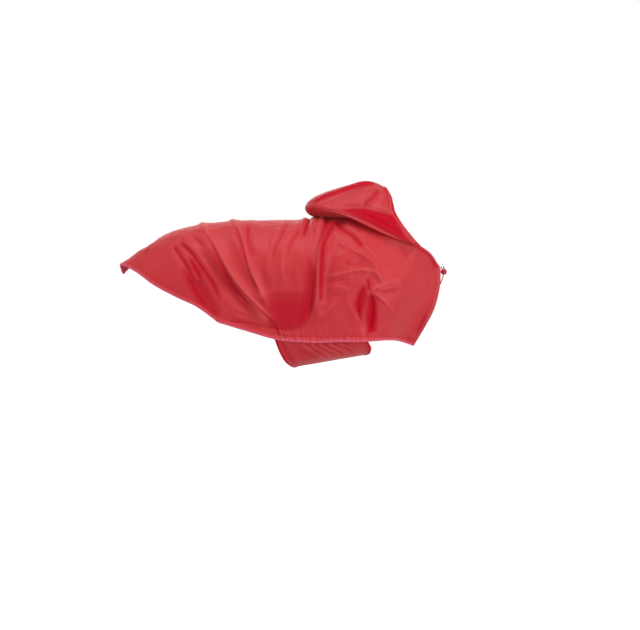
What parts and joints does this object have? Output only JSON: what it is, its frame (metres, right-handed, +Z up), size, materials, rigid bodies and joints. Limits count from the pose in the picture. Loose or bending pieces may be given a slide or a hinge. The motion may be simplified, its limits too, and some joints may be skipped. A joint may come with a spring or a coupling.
{
  "type": "dog raincoat",
  "caption": "Hooded dog raincoat as worn: hollow nylon cape with hood folded down, gathered lower hems, a belly band, and a drawcord with a round stop at the throat.",
  "frame": {"origin": "the inside of the back at the withers, where the wearer carries the coat", "axes": "+Z up, +X toward the wearer's head, -Y the wearer's right side"},
  "size_m": [0.654, 0.2283, 0.3698],
  "materials": {
    "nylon": "thin coated nylon with a satin sheen, slightly translucent",
    "nylon_hem": "the same nylon, turned and stitched",
    "toggle_plastic": "glossy moulded plastic",
    "cord": "round braided elastic cord"
  },
  "bodies": {
    "root": {"cape": "nylon", "hood": "nylon", "belly_band": "nylon", "rear_hem": "nylon_hem", "neck_casing": "nylon_hem", "hood_hem": "nylon_hem", "front_edge_right": "nylon_hem", "front_edge_left": "nylon_hem", "hem_casing_right": "nylon_hem", "hem_casing_left": "nylon_hem", "band_hem_rear": "nylon_hem", "band_hem_front": "nylon_hem", "toggle": "toggle_plastic", "drawcord_near": "cord", "drawcord_far": "cord", "drawcord_loop": "cord"}
  },
  "joints": []
}
